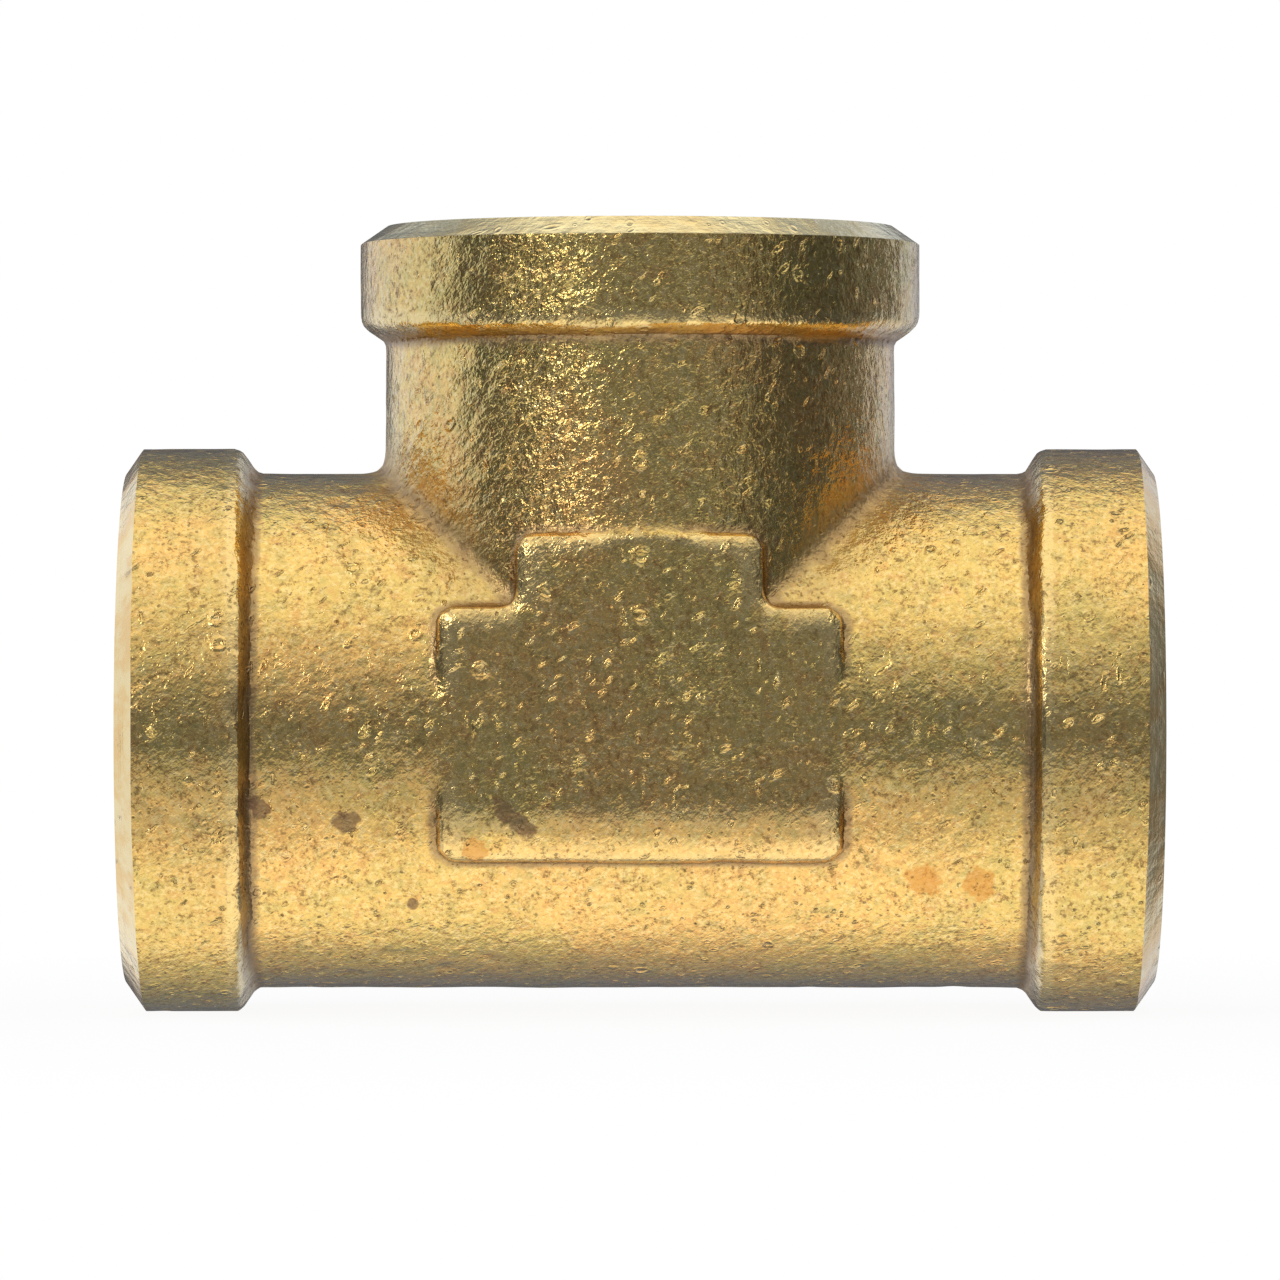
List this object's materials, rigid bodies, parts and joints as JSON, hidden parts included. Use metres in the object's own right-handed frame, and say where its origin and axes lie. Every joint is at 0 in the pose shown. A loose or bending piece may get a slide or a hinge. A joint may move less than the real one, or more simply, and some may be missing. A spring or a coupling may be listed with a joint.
{
  "type": "pipe tee fitting",
  "caption": "Forged brass pipe tee with female taper-threaded ports, a raised band round each port and a stepped marking pad on the front and back.",
  "frame": {"origin": "where the axis of the straight run crosses the axis of the branch", "axes": "+X along the run, +Z along the branch and out of its port, +Y from the front marking pad towards the back one"},
  "size_m": [0.0524, 0.0286, 0.0401],
  "materials": {
    "forged_brass": "dull as-forged brass with oxide in the hollows; turned, brighter end faces, chamfers and threads"
  },
  "bodies": {
    "root": {"tee_body": "forged_brass"}
  },
  "joints": []
}
